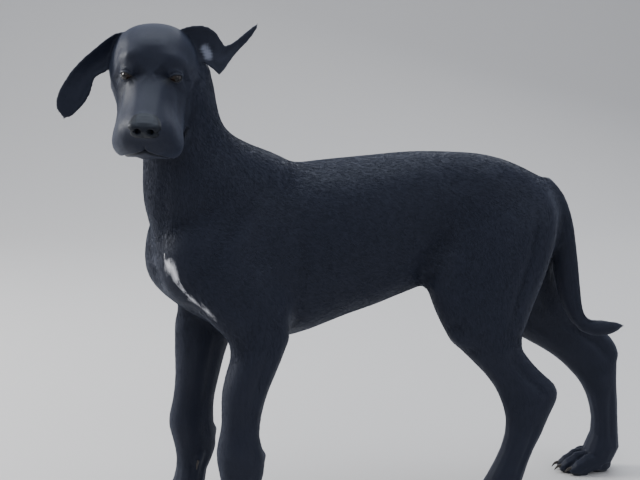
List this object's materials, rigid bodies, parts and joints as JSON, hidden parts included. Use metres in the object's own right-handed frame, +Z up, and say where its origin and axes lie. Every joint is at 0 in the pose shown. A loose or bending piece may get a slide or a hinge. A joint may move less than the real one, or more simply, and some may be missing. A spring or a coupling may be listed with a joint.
{
  "type": "great dane",
  "caption": "Life-size young great dane standing still, head turned to its left, with a hanging ear, an ear folded back, deep lips and a long tail curved at its tip.",
  "frame": {"origin": "on the floor, under the middle of the dog's bounding box", "axes": "+Z up, -X towards the breast end of the body, -Y towards the dog's left, the side its head is turned to"},
  "size_m": [1.0306, 0.3748, 0.8549],
  "materials": {
    "coat": "short sleek black hair with a blue sheen",
    "nose_skin": "moist black nose leather",
    "eye": "wet dark brown eyeball"
  },
  "bodies": {
    "root": {"torso": "coat", "neck": "coat", "head": "coat", "nose": "nose_skin", "eye_left": "eye", "eye_right": "eye", "ear_right": "coat", "ear_left": "coat", "shoulder_left": "coat", "foreleg_left": "coat", "forepaw_left": "coat", "thigh_left": "coat", "shank_left": "coat", "hindpaw_left": "coat", "shoulder_right": "coat", "foreleg_right": "coat", "forepaw_right": "coat", "thigh_right": "coat", "shank_right": "coat", "hindpaw_right": "coat", "tail_root": "coat", "tail_middle": "coat", "tail_tip": "coat"}
  },
  "joints": []
}
